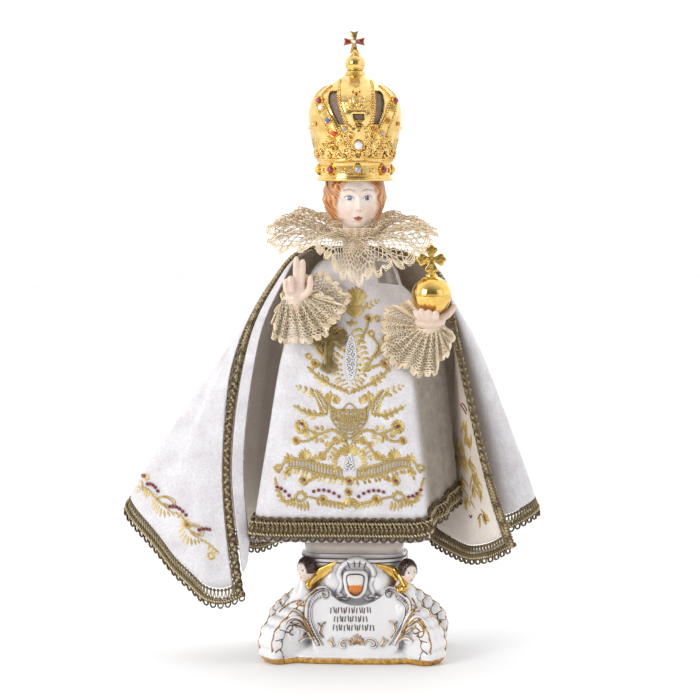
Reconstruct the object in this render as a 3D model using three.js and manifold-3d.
// A devotional child figure of glazed porcelain, dressed in a cloth gown and cape with lace,
// with a gold crown and a gold globe, on a scrolled porcelain base.
// Millimetres, +Z up. The front faces -Y, and the origin is the middle of the base's underside.
import * as THREE from "three";
import { mergeVertices } from "three/addons/utils/BufferGeometryUtils.js";
import Module from "manifold-3d";

const wasm = await Module();
wasm.setup();

// Gap between pieces that touch, and the size of surface detail left out
const GAP = 0.3;
const MERGE = 0.2;

// Base: foot width and depth, waist, top slab and heights
const BASE = {
  width: 124,
  depth: 92,
  rim: 5,
  waistWidth: 68,
  waistDepth: 54,
  waistHeight: 40,
  topWidth: 76,
  topDepth: 60,
  height: 76,
  slab: 6,
};

// Scroll feet at the four corners of the base
const SCROLL = { width: 19, rootReach: 40, reach: 76, height: 47, curl: 12 };

// Winged child busts on the front corners of the base
const BUST = { x: 36, y: -27, headHeight: 63, headRadius: 8, neck: 4.2, chestRadius: 9 };
const WING = { length: 25, width: 8, thickness: 3, feathers: 2 };

// Panel and shield on the front of the base
const PANEL = { width: 66, height: 40, centre: 26, thickness: 18, lean: 0.24 };
const SHIELD = { width: 12, height: 15, centre: 51, thickness: 4, frame: 2 };

// Porcelain figure
const FIGURE = {
  footWidth: 72,
  footDepth: 54,
  footHeight: 9,
  robe: { halfWidth: 31, halfDepth: 24, top: 200 },
  waist: { halfWidth: 23, halfDepth: 18 },
  chest: { halfWidth: 27, halfDepth: 18, z: 246 },
  shoulder: { halfWidth: 29, halfDepth: 16, z: 268 },
  neckRadius: 9.2,
  neckZ: 292,
};

// Head: an egg with its hair, turned a little towards the globe
const HEAD = {
  z: 330,
  halfWidth: 16.4,
  halfDepth: 18.4,
  chin: 24,
  top: 26,
  turn: 0.2,
  hair: 6.4,
  hairHem: -15,
  curl: 1.2,
  curls: 9,
};

// Arms: each is a chain of joints, mirrored in part
const ARM = { upper: 8.2, elbow: 7, wrist: 5 };
const RIGHT_ARM = { side: -1, elbow: [-38, -4, 244], wrist: [-40, -43.6, 254.5] };
const LEFT_ARM = { side: 1, elbow: [42, -4, 240], wrist: [53, -40, 237] };
const SLEEVE = { room: 1.2, wall: 1.8, end: 0.74 };
const HAND = { palmWidth: 15, palmThick: 6, palmLength: 15, finger: 2.5, length: 17 };

// Crown
const CROWN = {
  wall: 1.4,
  turn: THREE.MathUtils.degToRad(7.5),
  ribs: 8,
  ribHeight: 1.3,
  bandTop: 356,
  windowBottom: 383,
  windowTop: 405,
  windowFoot: { angle: THREE.MathUtils.degToRad(21), half: THREE.MathUtils.degToRad(4) },
  windowHead: { angle: THREE.MathUtils.degToRad(35), half: THREE.MathUtils.degToRad(8) },
  stoneAngle: THREE.MathUtils.degToRad(54),
  stoneZ: 400,
  liningWall: 0.8,
  liningTop: 410,
  ball: 6.9,
  ballZ: 426,
  crossZ: 442.3,
  crossReach: 7.8,
};
// Height and outside radius of the crown's wall, from the rim up to the neck of the ball
const CROWN_WALL = [
  [343, 26.4],
  [346, 26.6],
  [347, 25.6],
  [355, 25.8],
  [357, 27.2],
  [366, 29.4],
  [378, 32.6],
  [391, 33.8],
  [399, 32.2],
  [404.5, 28.8],
  [409, 22.5],
  [418.5, 7.5],
];
const STONE = { radius: 3.1, small: 2.4, height: 0.75 };
const BAND_STONES = 8;

// Globe in the left hand
const GLOBE = { radius: 14, centre: [56, -46, 263], band: 1.1, neck: 3.2, crossReach: 10.5 };

// Cloth and lace
const CLOTH = { gown: 2, cape: 2, lace: 1.2, braid: 2.2 };
const GOWN_BRAID = 19;
const CAPE_BRAID = { hem: 14, edge: 9 };
const CAPE_GRID = { columns: 32, rows: 7 };
const BRAID_LIFT = (CLOTH.gown + CLOTH.braid) / 2 + 2 * GAP;

// Pendant cross on the breast
const PENDANT = {
  x: -17,
  top: 245.5,
  length: 39,
  width: 27,
  bar: 6,
  lobe: 2,
  thickness: 2,
  lean: 0.2,
  clearance: 0.5,
};

const { clamp, degToRad, lerp } = THREE.MathUtils;
const vec = (x, y, z) => new THREE.Vector3(x, y, z);
const smooth = (x) => THREE.MathUtils.smoothstep(x, 0, 1);
const bell = (x, width) => Math.exp(-((x / width) ** 2));
const range = (count) => Array.from({ length: count }, (_, i) => i);

// A manifold solid from vectors and triangles, turned outwards if it is inside out
function solidFrom(points, triangles) {
  const make = (faces) =>
    new wasm.Manifold(
      new wasm.Mesh({
        numProp: 3,
        vertProperties: new Float32Array(points.flatMap((p) => [p.x, p.y, p.z])),
        triVerts: new Uint32Array(faces.flat()),
      }),
    );
  const made = make(triangles);
  return made.volume() > 0 ? made : make(triangles.map(([a, b, c]) => [a, c, b]));
}

// A manifold solid from a closed three.js geometry
function solidOf(geometry) {
  const bare = geometry.index ? geometry.toNonIndexed() : geometry.clone();
  bare.deleteAttribute("normal");
  bare.deleteAttribute("uv");
  const merged = mergeVertices(bare, 1e-4);
  const at = merged.getAttribute("position");
  const points = range(at.count).map((i) => new THREE.Vector3().fromBufferAttribute(at, i));
  const index = merged.index.array;
  const faces = range(index.length / 3).map((i) => [...index.slice(3 * i, 3 * i + 3)]);
  return solidFrom(points, faces.filter(([a, b, c]) => a !== b && b !== c && a !== c));
}

function geometryOf(solid) {
  const mesh = solid.getMesh();
  const positions = new Float32Array(mesh.numVert * 3);
  for (const i of range(mesh.numVert)) {
    const start = i * mesh.numProp;
    positions.set(mesh.vertProperties.subarray(start, start + 3), i * 3);
  }
  const geometry = new THREE.BufferGeometry();
  geometry.setAttribute("position", new THREE.BufferAttribute(positions, 3));
  geometry.setIndex(new THREE.BufferAttribute(mesh.triVerts, 1));
  const flat = geometry.toNonIndexed();
  flat.computeVertexNormals();
  return flat;
}

const join = (solids) => solids.reduce((all, one) => all.add(one));

// The biggest of the bodies a cut leaves
const mainBody = (solid) =>
  solid.decompose().reduce((most, one) => (one.volume() > most.volume() ? one : most));

function moved(geometry, { turn = [0, 0, 0], scale = [1, 1, 1], to = [0, 0, 0] }) {
  const quaternion = new THREE.Quaternion().setFromEuler(new THREE.Euler(...turn, "XYZ"));
  const matrix = new THREE.Matrix4().compose(vec(...to), quaternion, vec(...scale));
  return solidOf(geometry.clone().applyMatrix4(matrix));
}

const ball = (radius, to, scale = [1, 1, 1], detail = [10, 7]) =>
  moved(new THREE.SphereGeometry(radius, ...detail), { to, scale });

const block = (size, to, turn = [0, 0, 0]) =>
  moved(new THREE.BoxGeometry(...size), { to, turn });

// A solid skinned over closed rings of points, with a flat fan at each end
function loft(rings) {
  const count = rings[0].length;
  const points = rings.flat();
  const triangles = [];
  for (const i of range(rings.length - 1)) {
    for (const j of range(count)) {
      const a = i * count + j;
      const b = i * count + ((j + 1) % count);
      triangles.push([a, b, b + count], [a, b + count, a + count]);
    }
  }
  const middle = (ring) =>
    ring.reduce((sum, p) => sum.add(p), vec(0, 0, 0)).divideScalar(ring.length);
  const low = points.push(middle(rings[0])) - 1;
  const high = points.push(middle(rings.at(-1))) - 1;
  const last = (rings.length - 1) * count;
  for (const j of range(count)) {
    const next = (j + 1) % count;
    triangles.push([low, next, j], [high, last + j, last + next]);
  }
  return solidFrom(points, triangles);
}

// A tube of changing radius through points, with its ends drawn in
function limb(points, radii, sides = 8, steps = 6) {
  const curve = new THREE.CatmullRomCurve3(points.map((p) => vec(...p)));
  const frames = curve.computeFrenetFrames(steps, false);
  const radiusAt = (t) => {
    const at = t * (radii.length - 1);
    const i = Math.min(Math.floor(at), radii.length - 2);
    return lerp(radii[i], radii[i + 1], at - i);
  };
  const ring = (i, grow, ahead) =>
    range(sides).map((j) => {
      const angle = (2 * Math.PI * j) / sides;
      const radius = radiusAt(i / steps) * grow;
      return curve
        .getPointAt(i / steps)
        .addScaledVector(frames.normals[i], radius * Math.cos(angle))
        .addScaledVector(frames.binormals[i], radius * Math.sin(angle))
        .addScaledVector(frames.tangents[i], radiusAt(i / steps) * ahead);
    });
  return loft([
    ring(0, 0.55, -0.7),
    ...range(steps + 1).map((i) => ring(i, 1, 0)),
    ring(steps, 0.55, 0.7),
  ]);
}

// A sheet of some thickness over surface(u, v), closed round in u where it says so
function sheet(surface, columns, rows, thickness, closed, lift = 0) {
  const step = 1e-3;
  const across = closed ? columns : columns + 1;
  const along = (u) => (closed ? (u + 1) % 1 : clamp(u, 0, 1));
  const normalAt = (u, v) => {
    const du = surface(along(u + step), v).sub(surface(along(u - step), v));
    const dv = surface(u, clamp(v + step, 0, 1)).sub(surface(u, clamp(v - step, 0, 1)));
    return du.cross(dv).normalize();
  };
  const points = [];
  for (const side of [lift + thickness / 2, lift - thickness / 2]) {
    for (const j of range(rows + 1)) {
      for (const i of range(across)) {
        const [u, v] = [i / columns, j / rows];
        points.push(surface(u, v).addScaledVector(normalAt(u, v), side));
      }
    }
  }
  const back = across * (rows + 1);
  const at = (i, j) => j * across + (closed ? (i + across) % across : i);
  const triangles = [];
  const quad = (a, b, c, d) => triangles.push([a, b, c], [a, c, d]);
  for (const i of range(columns)) {
    for (const j of range(rows)) {
      const [a, b, c, d] = [at(i, j), at(i + 1, j), at(i + 1, j + 1), at(i, j + 1)];
      quad(a, b, c, d);
      quad(back + d, back + c, back + b, back + a);
    }
    quad(at(i + 1, 0), at(i, 0), back + at(i, 0), back + at(i + 1, 0));
    quad(at(i, rows), at(i + 1, rows), back + at(i + 1, rows), back + at(i, rows));
  }
  if (!closed) {
    for (const j of range(rows)) {
      quad(at(0, j), at(0, j + 1), back + at(0, j + 1), back + at(0, j));
      const [low, high] = [at(columns, j), at(columns, j + 1)];
      quad(high, low, back + low, back + high);
    }
  }
  return solidFrom(points, triangles);
}

// A smooth surface through levels of points: u runs along a level, and v from level to level
function netSurface(levels, closed) {
  const curves = levels.map(
    (level) => new THREE.CatmullRomCurve3(level, closed, "catmullrom", 0.5),
  );
  return (u, v) =>
    new THREE.CatmullRomCurve3(
      curves.map((curve) => curve.getPoint(u)),
      false,
      "catmullrom",
      0.5,
    ).getPoint(v);
}

// A flat outline with thickness, laid in the XZ plane with its front at y
function plate(shape, thickness, { to = [0, 0, 0], turn = 0, lean = 0, round = 0 } = {}) {
  const geometry = new THREE.ExtrudeGeometry(shape, {
    depth: thickness - 2 * round,
    bevelEnabled: round > 0,
    bevelThickness: round,
    bevelSize: round,
    bevelOffset: -round,
    bevelSegments: 1,
    curveSegments: 4,
  });
  geometry.rotateZ(turn);
  geometry.rotateX(Math.PI / 2);
  geometry.translate(0, thickness - round, 0);
  geometry.rotateX(-lean);
  return moved(geometry, { to });
}

function shapeOf(points) {
  return new THREE.Shape(points.map(([x, y]) => new THREE.Vector2(x, y)));
}

const oval = (halfWidth, halfDepth, z, count, power = 1, centre = [0, 0]) =>
  range(count).map((i) => {
    const angle = (2 * Math.PI * i) / count - Math.PI / 2;
    const [c, s] = [Math.cos(angle), Math.sin(angle)];
    return vec(
      centre[0] + halfWidth * Math.sign(c) * Math.abs(c) ** power,
      centre[1] + halfDepth * Math.sign(s) * Math.abs(s) ** power,
      z,
    );
  });

// Base of the statue
function baseBody() {
  const { width, depth, rim, waistWidth, waistDepth, waistHeight, topWidth, topDepth } = BASE;
  const shoulder = BASE.height - BASE.slab;
  const square = 0.6;
  const ring = (w, d, z) => oval(w / 2, d / 2, z, 20, square);
  const between = (share, z) =>
    ring(lerp(width, waistWidth, share), lerp(depth, waistDepth, share), z);
  return loft([
    ring(width, depth, 0),
    ring(width, depth, rim),
    between(0.12, rim + 2),
    between(0.6, rim + 10),
    between(0.9, rim + 20),
    ring(waistWidth, waistDepth, waistHeight),
    ring(waistWidth + 2, waistDepth + 2, shoulder - 6),
    ring(topWidth, topDepth, shoulder),
    ring(topWidth, topDepth, BASE.height),
  ]);
}

// One S-shaped corner foot: its side outline, swept through its width, and lobes on its spine
function scrollFoot(sideX, sideY) {
  const { rootReach, reach, height, curl, width } = SCROLL;
  const spine = new THREE.SplineCurve([
    new THREE.Vector2(rootReach - 12, 2),
    new THREE.Vector2(reach - 6, 1),
    new THREE.Vector2(reach, curl),
    new THREE.Vector2(reach - 3, 2 * curl),
    new THREE.Vector2(reach - 15, height - 12),
    new THREE.Vector2(rootReach + 6, height - 2),
    new THREE.Vector2(rootReach - 6, height + 6),
  ]);
  const outline = [...spine.getPoints(9).map((p) => [p.x, p.y]), [rootReach - 14, height - 8]];
  const angle = Math.atan2(sideY * (BASE.depth / 2 - 4), sideX * (BASE.width / 2 - 4));
  const geometry = new THREE.ExtrudeGeometry(shapeOf(outline), {
    depth: width - 6,
    bevelThickness: 3,
    bevelSize: 2.4,
    bevelOffset: -2.4,
    bevelSegments: 1,
  });
  geometry.translate(0, 0, 3 - width / 2);
  geometry.rotateX(Math.PI / 2);
  geometry.rotateZ(angle);
  const foot = solidOf(geometry);
  const lobes = range(2).map((i) => {
    const p = spine.getPoint(0.4 + 0.22 * i);
    const [out, up] = [p.x - 2.5, p.y];
    return moved(new THREE.SphereGeometry(6.2 - 0.8 * i, 6, 4), {
      to: [out * Math.cos(angle), out * Math.sin(angle), up],
      turn: [0, 0, angle],
      scale: [0.8, 1.7, 1.1],
    });
  });
  return join([foot, ...lobes]);
}

// Heart-shaped panel that leans back against the base
function panel() {
  const { width, height, centre, thickness, lean } = PANEL;
  const [w, h] = [width / 2, height / 2];
  const heart = new THREE.Shape();
  heart.moveTo(0, h * 0.72);
  heart.bezierCurveTo(w * 0.35, h * 1.1, w * 0.95, h * 1.05, w * 0.86, h * 0.2);
  heart.bezierCurveTo(w * 0.8, -h * 0.35, w * 1.1, -h * 0.5, w * 0.9, -h);
  heart.lineTo(-w * 0.9, -h);
  heart.bezierCurveTo(-w * 1.1, -h * 0.5, -w * 0.8, -h * 0.35, -w * 0.86, h * 0.2);
  heart.bezierCurveTo(-w * 0.95, h * 1.05, -w * 0.35, h * 1.1, 0, h * 0.72);
  const front = 1.5 - BASE.depth / 2 + (height / 2) * Math.tan(lean);
  return plate(heart, thickness, { to: [0, front, centre], lean, round: 1.6 });
}

function shield() {
  const { width, height, centre, thickness, frame } = SHIELD;
  const front = -BASE.topDepth / 2 - 1;
  const outline = (grow) => {
    const [w, h] = [width / 2 + grow, height / 2 + grow];
    return shapeOf([
      [-w, h],
      [-w, -h * 0.4],
      [-w * 0.6, -h * 0.8],
      [0, -h],
      [w * 0.6, -h * 0.8],
      [w, -h * 0.4],
      [w, h],
    ]);
  };
  return join([
    plate(outline(0), thickness, { to: [0, front - thickness, centre], round: 0.8 }),
    plate(outline(frame), thickness + 8, { to: [0, front - thickness + 1.4, centre], round: 1 }),
  ]);
}

function bust(sign) {
  const { x, y, headHeight, headRadius, neck, chestRadius } = BUST;
  const at = (dx, dy, z) => [sign * (x + dx), y + dy, z];
  const round = [8, 5];
  return join([
    ball(headRadius, at(2, -2, headHeight), [0.86, 1, 1.14], round),
    ball(headRadius, at(0.6, 0.6, headHeight + 2.4), [1.02, 1.02, 1.02], round),
    limb([at(1, 0, headHeight - 5), at(0, 1, headHeight - 14)], [neck, neck + 1], 6, 1),
    ball(chestRadius, at(0, 3, headHeight - 18), [1, 1, 1.2], round),
  ]);
}

function wing(sign) {
  const { length, width, thickness, feathers } = WING;
  const root = [sign * (BUST.x - 3), BUST.y - 6, BUST.headHeight - 14];
  const parts = range(feathers).map((i) => {
    const reach = length * (1 - 0.2 * i);
    const rise = degToRad(42 - 22 * i);
    const tip = [
      root[0] - sign * reach * Math.cos(rise),
      root[1] - 1,
      root[2] + reach * Math.sin(rise),
    ];
    const middle = [
      lerp(root[0], tip[0], 0.5) + sign * 1.5,
      root[1] - 1.5,
      lerp(root[2], tip[2], 0.5) - 1.5,
    ];
    return limb([root, middle, tip], [width / 2, width / 2.4, thickness / 3], 5, 2);
  });
  return join(parts);
}

function makeBase() {
  const corners = [-1, 1].flatMap((sx) => [-1, 1].map((sy) => scrollFoot(sx, sy)));
  const fronts = [-1, 1].flatMap((sign) => [bust(sign), wing(sign)]);
  const whole = join([baseBody(), ...corners, panel(), shield(), ...fronts]);
  const [far, deep] = [400, 60];
  const below = block([far, far, deep], [0, 0, -deep / 2]);
  const above = block([BASE.topWidth + 8, BASE.topDepth - 4, deep], [
    0,
    4,
    BASE.height + deep / 2,
  ]);
  return whole.subtract(below).subtract(above);
}

// Porcelain figure
function torso() {
  const { robe, waist, chest, shoulder, neckRadius, neckZ } = FIGURE;
  const foot = BASE.height + GAP;
  const top = foot + FIGURE.footHeight;
  const ring = ({ halfWidth, halfDepth }, z) => oval(halfWidth, halfDepth, z, 12);
  const body = loft([
    ring(robe, top - 1),
    ring(robe, top + 30),
    ring(waist, robe.top),
    ring(chest, chest.z),
    ring(shoulder, shoulder.z),
    oval(neckRadius + 5, neckRadius + 3, neckZ - 9, 12),
    oval(neckRadius, neckRadius, neckZ, 12),
    oval(neckRadius - 0.6, neckRadius - 0.6, HEAD.z - 12, 12),
  ]);
  const plinth = block(
    [FIGURE.footWidth, FIGURE.footDepth, FIGURE.footHeight],
    [0, 0, foot + FIGURE.footHeight / 2],
  );
  return body.add(plinth);
}

// Point of the head in its own frame, from a unit direction with the face towards -y
function headPoint(d) {
  const { halfWidth, halfDepth, chin, top, hair, hairHem, curl, curls } = HEAD;
  const p = vec(d.x * halfWidth, d.y * halfDepth, d.z * (d.z > 0 ? top : chin));
  const low = smooth(-d.z * 1.1);
  p.x *= lerp(1, 0.72, low);
  if (d.y > 0) p.y *= lerp(1, 0.6, low);
  const front = smooth(-d.y * 1.6);
  const out = (x, z, width, height) => front * bell(p.x - x, width) * bell(p.z - z, height);
  const eyes = out(-6.6, 0.5, 3.6, 2.6) + out(6.6, 0.5, 3.6, 2.6);
  const cheeks = out(-8, -9, 5, 5) + out(8, -9, 5, 5);
  const nose = out(0, -6.5, 2, 3.2) * 3.4 + out(0, -2, 1.6, 5) * 1.5;
  const mouth = out(0, -13.6, 3.4, 2);
  const point = out(0, -20.5, 4, 3.4);
  p.y -= nose + 0.8 * cheeks + 1.1 * mouth + 1.4 * point - 1.3 * eyes;
  const face = smooth(1.9 - 1.6 * Math.hypot(p.x / 13.6, (p.z + 6) / 19)) * smooth(-d.y * 3);
  const covered = (1 - face) * smooth((p.z - hairHem) / 3);
  const around = Math.atan2(d.x, -d.y);
  const waves = curl * Math.sin(curls * around) * Math.sin(p.z * 0.55 + 2 * around);
  return p.addScaledVector(vec(d.x, d.y, d.z * 0.4), covered * (hair + waves));
}

function head() {
  const geometry = new THREE.SphereGeometry(1, 18, 12);
  const at = geometry.getAttribute("position");
  for (const i of range(at.count)) {
    // SphereGeometry has its poles on Y; the head has them on Z
    const d = vec(at.getX(i), -at.getZ(i), at.getY(i)).normalize();
    const p = headPoint(d);
    at.setXYZ(i, p.x, p.y, p.z);
  }
  return moved(geometry, { turn: [0, 0, HEAD.turn], to: [0, -2, HEAD.z] });
}

// An arm grown by some room, as far as a share of its forearm
function arm({ side, elbow, wrist }, room = 0, share = 1) {
  const shoulder = [side * (FIGURE.shoulder.halfWidth - 8), 0, FIGURE.shoulder.z - 3];
  const upper = [
    lerp(shoulder[0], elbow[0], 0.5) + side * 3,
    -1,
    lerp(shoulder[2], elbow[2], 0.5),
  ];
  const end = elbow.map((value, i) => lerp(value, wrist[i], share));
  const radii = [ARM.upper, ARM.upper, ARM.elbow, lerp(ARM.elbow, ARM.wrist, share)];
  return limb([shoulder, upper, elbow, end], radii.map((radius) => radius + room), 8, 5);
}

// Raised right hand, palm forward: two fingers up, two bent down, and the thumb apart
function blessingHand() {
  const [x, y, z] = RIGHT_ARM.wrist;
  const { palmWidth, palmThick, palmLength, finger, length } = HAND;
  const palm = ball(1, [x, y - 2, z + palmLength / 2 + 3], [
    palmWidth / 2,
    palmThick / 2 + 0.6,
    palmLength / 2 + 3,
  ]);
  const base = z + palmLength + 2;
  const raised = [1, 4.6].map((dx, i) =>
    limb(
      [
        [x + dx, y - 2, base],
        [x + dx + 0.6 * i, y - 2.5, base + length * 0.55],
        [x + dx + i, y - 3, base + length - 2 * i],
      ],
      [finger, finger, finger * 0.8],
      6,
      2,
    ),
  );
  const bent = [-2.8, -6.2].map((dx, i) =>
    limb(
      [
        [x + dx, y - 1, base - 1 - 2 * i],
        [x + dx, y - 6, base + 3 - 2 * i],
        [x + dx + 0.8, y - 7, base - 5 - i],
      ],
      [finger, finger * 0.95, finger * 0.8],
      5,
      3,
    ),
  );
  const thumb = limb(
    [
      [x + 3, y - 2, z + 6],
      [x + 10, y - 4, z + 12],
      [x + 11, y - 4, z + 21],
    ],
    [finger * 1.2, finger * 1.1, finger * 0.8],
    6,
    3,
  );
  return join([palm, ...raised, ...bent, thumb]);
}

// Left hand: a cupped palm under the globe, with four fingers up its front and a thumb
function holdingHand() {
  const [gx, gy, gz] = GLOBE.centre;
  const { finger, palmThick } = HAND;
  const clear = GLOBE.radius + finger + GAP;
  const palm = ball(1, [gx, gy + 1, gz - clear - palmThick / 2 + 1], [
    10,
    10,
    palmThick / 2 + 1.5,
  ]);
  const onGlobe = (across, rise, reach = clear + 1) => {
    const [a, e] = [degToRad(across), degToRad(rise)];
    return [
      gx + reach * Math.sin(a) * Math.cos(e),
      gy - reach * Math.cos(a) * Math.cos(e),
      gz + reach * Math.sin(e),
    ];
  };
  const fingers = range(4).map((i) => {
    const across = -54 + 33 * i;
    return limb(
      [onGlobe(across, -84), onGlobe(across, -62), onGlobe(across, -40), onGlobe(across, -22)],
      [finger, finger, finger, finger * 0.8],
      6,
      3,
    );
  });
  const thumb = limb(
    [onGlobe(100, -80), onGlobe(96, -50), onGlobe(92, -26)],
    [finger * 1.2, finger * 1.1, finger * 0.9],
    6,
    2,
  );
  const [wx, wy, wz] = LEFT_ARM.wrist;
  const heel = limb(
    [
      [wx, wy, wz],
      [gx, gy + 2, gz - clear - palmThick / 2],
    ],
    [ARM.wrist, ARM.wrist + 1],
    8,
    1,
  );
  return join([palm, heel, ...fingers, thumb]);
}

function makeFigure() {
  const hands = [blessingHand(), holdingHand()];
  return join([torso(), head(), arm(RIGHT_ARM), arm(LEFT_ARM), ...hands]);
}

// Crown
const onCrown = (angle, z, outwards = 0) => {
  const at = CROWN_WALL.findIndex(([height]) => height >= z);
  const [low, high] = [CROWN_WALL[Math.max(at - 1, 0)], CROWN_WALL[Math.max(at, 1)]];
  const radius = lerp(low[1], high[1], clamp((z - low[0]) / (high[0] - low[0]), 0, 1)) + outwards;
  return [radius * Math.sin(angle), -radius * Math.cos(angle), z];
};

// A window that leans away from the middle of the front or the back, wider at its head
function crownWindow(middle, side) {
  const { windowBottom, windowTop, windowFoot, windowHead } = CROWN;
  const reach = 45;
  const corner = ({ angle, half }, across, z, r) => {
    const a = middle + side * (angle + across * half);
    return vec(r * Math.sin(a), -r * Math.cos(a), z);
  };
  const ring = (r) => [
    corner(windowFoot, -1, windowBottom, r),
    corner(windowFoot, 1, windowBottom, r),
    corner(windowHead, 1, windowTop, r),
    corner(windowHead, -1, windowTop, r),
  ];
  return loft([ring(10), ring(reach)]);
}

function crossPattee(reach, thickness, z, armWidth, y = 0) {
  const arms = range(4).map((i) => {
    const turn = (i * Math.PI) / 2;
    const shape = shapeOf([
      [-armWidth * 0.3, -armWidth * 0.3],
      [armWidth * 0.3, -armWidth * 0.3],
      [armWidth, reach],
      [-armWidth, reach],
    ]);
    return plate(shape, thickness, { to: [0, y - thickness / 2, z], turn });
  });
  return join(arms);
}

// Crown wall: a hollow turned shape with standing ribs, closed at its neck
function crownShell() {
  const { wall, turn, ribs, ribHeight } = CROWN;
  const columns = 3 * ribs;
  const ring = (z, radius, rise = 0) =>
    range(columns).map((i) => {
      const angle = turn + (2 * Math.PI * i) / columns;
      const out = radius + (i % 3 === 0 ? rise : 0);
      return vec(out * Math.sin(angle), -out * Math.cos(angle), z);
    });
  const ribbed = (z) => (z > CROWN.bandTop && z < CROWN.liningTop + 4 ? ribHeight : 0);
  const outside = loft(CROWN_WALL.map(([z, radius]) => ring(z, radius, ribbed(z))));
  const levels = CROWN_WALL.filter(([z]) => z > CROWN.bandTop && z < CROWN.liningTop + 1);
  const band = CROWN_WALL[0];
  const inside = loft([
    ring(band[0] - 1, band[1] - wall),
    ring(CROWN.bandTop - 2, band[1] - wall),
    ...levels.map(([z, radius]) => ring(z - wall, radius - wall)),
  ]);
  return outside.subtract(inside);
}

function makeCrown() {
  const { turn, ball: ballRadius, ballZ } = CROWN;
  const windows = range(2).flatMap((i) =>
    [-1, 1].map((side) => crownWindow(turn + i * Math.PI, side)),
  );
  const cut = windows.reduce((solid, window) => solid.subtract(window), crownShell());
  const finial = join([
    ball(1, [0, 0, 418.5], [9, 9, 2.2], [12, 5]),
    ball(ballRadius, [0, 0, ballZ], [1, 1, 1], [12, 7]),
    ball(1, [0, 0, ballZ + ballRadius + 1], [3, 3, 2.4], [8, 4]),
    crossPattee(CROWN.crossReach, 2, CROWN.crossZ, 2.6),
  ]);
  return cut.add(finial);
}

// Cloth cap inside the crown, which shows through its windows
function makeCrownLining() {
  const { wall, windowBottom, liningWall, liningTop } = CROWN;
  const levels = CROWN_WALL.filter(([z]) => z > windowBottom - 12 && z < liningTop);
  const cup = (inward) =>
    loft(
      levels.map(([z, radius]) => {
        const inner = radius - wall - GAP - inward;
        return oval(inner, inner, z - wall - inward, 16);
      }),
    );
  const floor = levels[0][0] - wall;
  const opening = block([80, 80, 10], [0, 0, floor + 1 - 5]);
  return cup(0.7).subtract(cup(0.7 + liningWall)).subtract(opening);
}

function stone(angle, z, radius, seat) {
  const flat = STONE.height;
  const [x, y] = onCrown(angle, z, GAP + radius * flat + seat);
  return moved(new THREE.SphereGeometry(radius, 6, 4), {
    scale: [1, flat, 1],
    turn: [0, 0, angle],
    to: [x, y, z],
  });
}

// A flat cross with lobes at its ends, in its own plane
function lobedCross(reach, bar, lobe) {
  const arm = [
    [bar, bar],
    [bar, reach - 2.6 * lobe],
    [bar + 1.2 * lobe, reach - 2.5 * lobe],
    [bar + 1.2 * lobe, reach - 1.2 * lobe],
    [0.8 * lobe, reach - 0.5 * lobe],
    [0, reach],
    [-0.8 * lobe, reach - 0.5 * lobe],
    [-bar - 1.2 * lobe, reach - 1.2 * lobe],
    [-bar - 1.2 * lobe, reach - 2.5 * lobe],
    [-bar, reach - 2.6 * lobe],
  ];
  return (long) =>
    shapeOf(
      range(4).flatMap((i) => {
        const angle = (i * Math.PI) / 2;
        const [c, s] = [Math.cos(angle), Math.sin(angle)];
        const grow = i === 2 ? long : 0;
        return arm.map(([x, y], j) => {
          const up = y + (j > 0 ? grow : 0);
          return [x * c - up * s, x * s + up * c];
        });
      }),
    );
}

// Globe: a ball with a seam band, a stem and a cross with lobed ends
function makeGlobe() {
  const { radius, centre, band, neck, crossReach } = GLOBE;
  const [x, y, z] = centre;
  const seam = moved(new THREE.TorusGeometry(radius - 0.5, band, 3, 12), { to: [x, y, z + 1] });
  const crossZ = z + radius + neck + crossReach * 0.95;
  const stem = limb(
    [
      [x, y, z + radius - 1],
      [x, y, crossZ - crossReach + 2],
    ],
    [neck, neck * 0.5],
    6,
    1,
  );
  const cross = plate(lobedCross(crossReach, 1.3, 1.9)(0), 2.4, { to: [x, y - 1.2, crossZ] });
  return join([ball(radius, centre, [1, 1, 1], [12, 8]), seam, stem, cross]);
}

// Gown: stations round the body, each with its place at the hips and at the hem
const GOWN_LEVELS = { neck: 291, shoulder: 281, chest: 262, hips: 228 };
const GOWN_HALF = { neck: [14, 12.5], shoulder: [28, 19], chest: [36, 24] };
const GOWN_STATIONS = [
  { angle: -90, hips: [-5, -32], hem: [-8, -57], hemZ: 89 },
  { angle: 240, hips: [-28, -31], hem: [-44, -57], hemZ: 89 },
  { angle: 220, hips: [-46, -28], hem: [-68, -50], hemZ: 89 },
  { angle: 198, hips: [-47, -14], hem: [-67, -24], hemZ: 90 },
  { angle: 172, hips: [-46, 2], hem: [-64, 2], hemZ: 92 },
  { angle: 138, hips: [-38, 23], hem: [-50, 31], hemZ: 96 },
  { angle: 90, hips: [0, 31], hem: [0, 45], hemZ: 100 },
  { angle: 40, hips: [44, 23], hem: [54, 27], hemZ: 104 },
  { angle: 5, hips: [60, 0], hem: [74, -8], hemZ: 108 },
  { angle: -22, hips: [47, -17], hem: [60, -32], hemZ: 98 },
  { angle: -40, hips: [36, -27.5], hem: [50, -54], hemZ: 90 },
  { angle: -58, hips: [20, -31], hem: [28, -57], hemZ: 89 },
];

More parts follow.
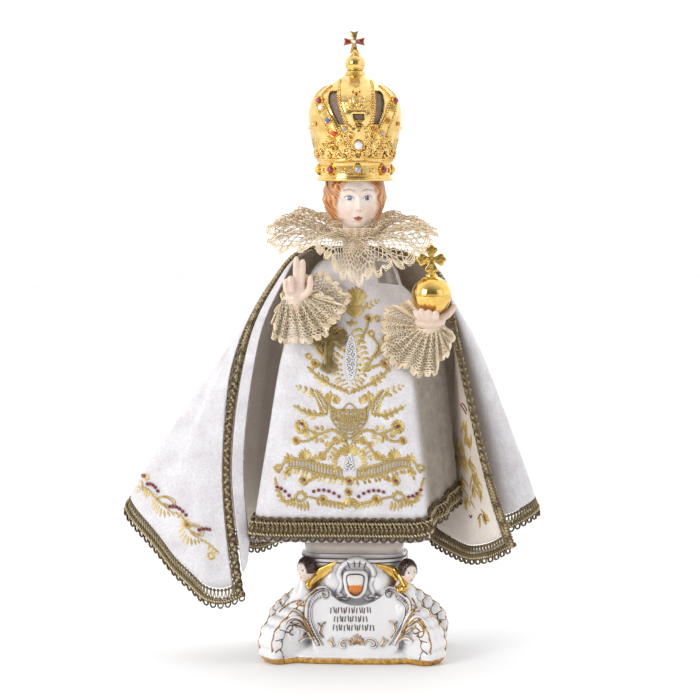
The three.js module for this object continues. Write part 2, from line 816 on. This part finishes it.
function gownSurface() {
  const at = ({ angle }, [halfWidth, halfDepth], z) =>
    vec(halfWidth * Math.cos(degToRad(angle)), halfDepth * Math.sin(degToRad(angle)), z);
  const levels = [
    (s) => at(s, GOWN_HALF.neck, GOWN_LEVELS.neck),
    (s) => at(s, GOWN_HALF.shoulder, GOWN_LEVELS.shoulder),
    (s) => at(s, GOWN_HALF.chest, GOWN_LEVELS.chest),
    (s) => vec(...s.hips, GOWN_LEVELS.hips),
    (s) =>
      vec(
        lerp(s.hips[0], s.hem[0], 0.52),
        lerp(s.hips[1], s.hem[1], 0.52),
        lerp(GOWN_LEVELS.hips, s.hemZ, 0.5),
      ),
    (s) => vec(...s.hem, s.hemZ),
  ];
  return netSurface(levels.map((level) => GOWN_STATIONS.map(level)), true);
}

// Cape: stations from the edge at the right hand, round the back, to the edge at the globe
// Each level above the upper one has its height at the left and at the right
const CAPE_LEVELS = {
  neck: [295, 295],
  collar: [292, 286],
  shoulder: [274, 270],
  upper: 226,
  lower: 140,
};
const CAPE_HALF = { neck: [17, 15], collar: [42, 27], shoulder: [61, 36] };
const CAPE_STATIONS = [
  { angle: 204, upper: [-75, -26], lower: [-86, -38], hem: [-75, -50, 46] },
  { angle: 197, upper: [-81, -22], lower: [-100, -38], hem: [-98, -52, 41] },
  { angle: 190, upper: [-86, -14], lower: [-124, -32], hem: [-130, -42, 64] },
  { angle: 182, upper: [-88, -2], lower: [-147, -14], hem: [-166, -14, 105] },
  { angle: 172, upper: [-83, 14], lower: [-128, 14], hem: [-140, 14, 94] },
  { angle: 158, upper: [-73, 28], lower: [-90, 34], hem: [-94, 36, 70] },
  { angle: 142, upper: [-58, 38], lower: [-66, 48], hem: [-66, 52, 66] },
  { angle: 118, upper: [-32, 46], lower: [-36, 62], hem: [-36, 68, 88] },
  { angle: 90, upper: [2, 48], lower: [0, 66], hem: [0, 74, 92] },
  { angle: 62, upper: [36, 46], lower: [44, 66], hem: [52, 72, 94] },
  { angle: 32, upper: [84, 22], lower: [117, 34], hem: [131, 36, 100] },
  { angle: 17, upper: [82, 6], lower: [104, 12], hem: [110, 12, 86] },
  { angle: 6, upper: [73, 8], lower: [76, 24], hem: [70, 30, 74] },
  { angle: -3, upper: [73, -6], lower: [82, -4], hem: [86, -8, 66] },
  { angle: -12, upper: [75, -16], lower: [97, -24], hem: [118, -28, 80] },
];

function capeSurface() {
  const at = ({ angle }, [halfWidth, halfDepth], [left, right]) => {
    const [c, s] = [Math.cos(degToRad(angle)), Math.sin(degToRad(angle))];
    return vec(halfWidth * c + 3, halfDepth * s, lerp(right, left, (1 - c) / 2));
  };
  const levels = [
    (s) => at(s, CAPE_HALF.neck, CAPE_LEVELS.neck),
    (s) => at(s, CAPE_HALF.collar, CAPE_LEVELS.collar),
    (s) => at(s, CAPE_HALF.shoulder, CAPE_LEVELS.shoulder),
    (s) => vec(...s.upper, CAPE_LEVELS.upper),
    (s) => vec(...s.lower, CAPE_LEVELS.lower),
    (s) => vec(...s.hem),
  ];
  return netSurface(levels.map((level) => CAPE_STATIONS.map(level)), false);
}

// A closed solid inside a closed surface moved out by lift, longer at its ends where asked
function filled(surface, columns, rows, lift, longer = 0) {
  const step = 1e-3;
  const ring = (v) =>
    range(columns).map((i) => {
      const u = i / columns;
      const du = surface((u + step) % 1, v).sub(surface((u + 1 - step) % 1, v));
      const dv = surface(u, Math.min(v + step, 1)).sub(surface(u, Math.max(v - step, 0)));
      return surface(u, v).addScaledVector(du.cross(dv).normalize(), lift);
    });
  const rings = range(rows + 1).map((j) => ring(j / rows));
  if (longer) {
    rings.unshift(rings[0].map((p) => p.clone().add(vec(0, 0, longer))));
    rings.push(rings.at(-1).map((p) => p.clone().sub(vec(0, 0, longer))));
  }
  return loft(rings);
}

// Gown: skirt, bodice and sleeves of one wall, open at the neck, the wrists and the hem
function makeGown(surface) {
  const half = CLOTH.gown / 2;
  const [columns, rows] = [24, 5];
  const arms = [RIGHT_ARM, LEFT_ARM];
  const { room, wall, end } = SLEEVE;
  const outside = join([
    filled(surface, columns, rows, half),
    ...arms.map((each) => arm(each, room + wall, end)),
  ]);
  const inside = join([
    filled(surface, columns, rows, -half, 3),
    ...arms.map((each) => arm(each, room, 1)),
  ]);
  return outside.subtract(inside);
}

// The share of v or of u that a width of cloth takes up at the hem or at a front edge
function hemShare(surface, u, width) {
  const step = 0.02;
  return (width * step) / surface(u, 1).distanceTo(surface(u, 1 - step));
}

function edgeShare(surface, v, edge, width) {
  const step = 0.004;
  const inner = edge === 1 ? 1 - step : step;
  return (width * step) / surface(edge, v).distanceTo(surface(inner, v));
}

// A strip as wide as asked along the hem of a surface
function hemStrip(surface, width) {
  return (u, v) => surface(u, 1 - hemShare(surface, u, width) * (1 - v));
}

// The shares of u between which the cape's cloth lies, at a height
function clothSpan(surface, v) {
  const width = CAPE_BRAID.edge + GAP;
  return [edgeShare(surface, v, 0, width), 1 - edgeShare(surface, v, 1, width)];
}

// A point of the cape by its share of the cloth's width, at a height above the hem by a share
// of the drop or, near the hem, by a width of cloth
function capePoint(surface, across, drop, width) {
  const low = clothSpan(surface, 1);
  const v = drop * (1 - hemShare(surface, lerp(...low, clamp(across, 0, 1)), width));
  const [first, last] = clothSpan(surface, v);
  if (across < 0) return surface(first * (1 + across), v);
  if (across > 1) return surface(last + (1 - last) * (across - 1), v);
  return surface(lerp(first, last, across), v);
}

// The cape without the margins that its braids fill
const capeCloth = (surface) => (u, v) => capePoint(surface, u, v, CAPE_BRAID.hem + 2 * GAP);

// The braid along the cape's hem, with its facets in line with those of the cloth
function capeHemStrip(surface) {
  const { columns } = CAPE_GRID;
  return (u, v) => {
    const column = u * (columns + 2) - 1;
    const inside = clamp(column / columns, 0, 1);
    const past = column < 0 ? column : Math.max(column - columns, 0);
    return capePoint(surface, inside + past, 1, CAPE_BRAID.hem * (1 - v));
  };
}

// A strip down a front edge of the cape, from under the collar to the hem braid
function edgeStrip(surface, edge) {
  const { hem, edge: width } = CAPE_BRAID;
  const low = 1 - hemShare(surface, edge, hem + GAP);
  return (across, down) => {
    const v = lerp(low / CAPE_GRID.rows, low, down);
    const share = edgeShare(surface, v, edge, width);
    return surface(edge === 1 ? 1 - share * (1 - across) : share * across, v);
  };
}

// Lace collar: its outer edge in points round the neck, from the front over the right of the view
const COLLAR = { inner: 13.5, innerZ: 300.5, ruffles: 13, ruffle: 3.2, bow: 5 };
const COLLAR_EDGE = [
  [9, -43, 270],
  [28, -40, 281],
  [50, -27, 291],
  [60, -8, 303],
  [54, 11, 311],
  [34, 31, 314],
  [0, 43, 312],
  [-34, 34, 315],
  [-51, 15, 318],
  [-62, -4, 311],
  [-60, -23, 295],
  [-42, -35, 296],
  [-24, -41, 291],
  [-8, -43, 278],
];

function collarSurface() {
  const { inner, innerZ, ruffles, ruffle, bow } = COLLAR;
  const edge = new THREE.CatmullRomCurve3(COLLAR_EDGE.map((p) => vec(...p)), true);
  return (u, v) => {
    const outer = edge.getPoint(u);
    const angle = Math.atan2(outer.y, outer.x);
    const root = vec(inner * Math.cos(angle), inner * Math.sin(angle), innerZ);
    const wave = ruffle * v * Math.sin(2 * Math.PI * ruffles * u);
    return root.lerp(outer, v).add(vec(0, 0, bow * Math.sin(Math.PI * v) + wave));
  };
}

// Lace flounces: rings gathered on the forearms, which flare and hang in front of the gown
const FLOUNCES = [
  {
    name: "lace_right_behind",
    centre: [-39.3, -28.5, 250.5],
    inner: 11.2,
    outer: [-27, 259],
    half: [24, 19],
    forward: 10,
    ruffles: 10,
    ruffle: 0.8,
  },
  {
    name: "lace_right_front",
    centre: [-39.8, -39.1, 253.2],
    inner: 8,
    outer: [-31, 244],
    half: [26, 20],
    forward: 8,
    ruffles: 11,
    ruffle: 1.5,
  },
  {
    name: "lace_left",
    centre: [49.2, -28.5, 238],
    inner: 10,
    outer: [45, 233],
    half: [25, 27],
    forward: 14,
    ruffles: 12,
    ruffle: 1.5,
  },
];

function flounceSurface({ centre, inner, outer, half, forward, ruffles, ruffle }) {
  const [x, y, z] = centre;
  return (u, v) => {
    const angle = 2 * Math.PI * u - Math.PI / 2;
    const [c, s] = [Math.cos(angle), Math.sin(angle)];
    const edge = [outer[0] + half[0] * c, outer[1] + half[1] * s];
    const pleat = ruffle * v * Math.sin(ruffles * angle);
    const flare = forward * Math.sin((Math.PI / 2) * v) * (0.6 - 0.4 * s);
    return vec(
      lerp(x + inner * c, edge[0], v),
      y - flare + pleat,
      lerp(z + inner * s, edge[1], v),
    );
  };
}

// Where the gown's front would meet the pendant's leaning plane, at the height of its crossing
function frontUnderPendant(surface) {
  const { x, top, length, width, lean } = PENDANT;
  const crossing = top - width / 2;
  const [columns, rows] = [96, 60];
  const places = range(columns).flatMap((i) =>
    range(rows + 1).map((j) => surface(i / columns, j / rows)),
  );
  const under = places.filter(
    (p) => p.y < 0 && Math.abs(p.x - x) < width / 2 && p.z < top && p.z > top - length,
  );
  const fronts = under.map((p) => p.y - (p.z - crossing) * Math.tan(lean));
  return Math.min(...fronts) - CLOTH.gown / 2;
}

// Pendant: a flat cross with lobed ends and a longer foot, lying on the front of the gown
function makePendant(surface) {
  const { x, top, length, width, bar, lobe, thickness, lean, clearance } = PENDANT;
  const outline = lobedCross(width / 2, bar / 2, lobe)(length - width);
  const y = frontUnderPendant(surface) - clearance - thickness / Math.cos(lean);
  return plate(outline, thickness, { to: [x, y, top - width / 2], lean });
}

// Colours, roughness and metalness of each material
const FINISHES = {
  porcelain: { color: 0xf1efee, roughness: 0.18, metalness: 0 },
  skin: { color: 0xf3e2d8, roughness: 0.22, metalness: 0 },
  gold: { color: 0xe3b34a, roughness: 0.2, metalness: 1 },
  brass: { color: 0x8a7446, roughness: 0.4, metalness: 1 },
  velvet: { color: 0xf2efec, roughness: 0.95, metalness: 0 },
  lining: { color: 0x8a7b6c, roughness: 0.95, metalness: 0 },
  braid: { color: 0x6f5a34, roughness: 0.6, metalness: 0.3 },
  lace: { color: 0xe9dcc3, roughness: 0.9, metalness: 0 },
  ruby: { color: 0x8a1236, roughness: 0.08, metalness: 0 },
};

const group = new THREE.Group();

function addPiece(name, solid, finish) {
  const mesh = new THREE.Mesh(
    geometryOf(mainBody(solid.asOriginal().simplify(MERGE))),
    new THREE.MeshStandardMaterial(FINISHES[finish]),
  );
  mesh.name = name;
  group.add(mesh);
}

const figure = makeFigure();
const gownAt = gownSurface();
const capeAt = capeSurface();

addPiece("base", makeBase(), "porcelain");
addPiece("figure", figure, "skin");
addPiece("gown", makeGown(gownAt), "velvet");
addPiece(
  "gown_braid",
  sheet(hemStrip(gownAt, GOWN_BRAID), 24, 1, CLOTH.braid, true, BRAID_LIFT),
  "braid",
);
const { columns: capeColumns, rows: capeRows } = CAPE_GRID;
addPiece("cape", sheet(capeCloth(capeAt), capeColumns, capeRows, CLOTH.cape, false), "velvet");
addPiece(
  "cape_hem_braid",
  sheet(capeHemStrip(capeAt), capeColumns + 2, 1, CLOTH.braid, false),
  "braid",
);
for (const [name, edge] of [
  ["cape_edge_braid_right", 0],
  ["cape_edge_braid_left", 1],
]) {
  addPiece(name, sheet(edgeStrip(capeAt, edge), 1, capeRows - 1, CLOTH.braid, false), "braid");
}
addPiece("lace_collar", sheet(collarSurface(), 52, 2, CLOTH.lace, true), "lace");
for (const flounce of FLOUNCES) {
  addPiece(flounce.name, sheet(flounceSurface(flounce), 36, 1, CLOTH.lace, true), "lace");
}
addPiece("crown", makeCrown(), "gold");
addPiece("crown_lining", makeCrownLining(), "lining");
addPiece("globe", makeGlobe(), "gold");
addPiece("pendant_cross", makePendant(gownAt), "brass");
for (const i of range(BAND_STONES)) {
  const angle = CROWN.turn + (i * 2 * Math.PI) / BAND_STONES;
  addPiece(`band_stone_${i + 1}`, stone(angle, 351, STONE.radius, 0.1), "ruby");
}
const ribAngles = [0, Math.PI].flatMap((middle) =>
  [-1, 1].map((side) => CROWN.turn + middle + side * CROWN.stoneAngle),
);
ribAngles.forEach((angle, i) => {
  addPiece(`rib_stone_${i + 1}`, stone(angle, CROWN.stoneZ, STONE.small, 1.2), "ruby");
});

export default group;
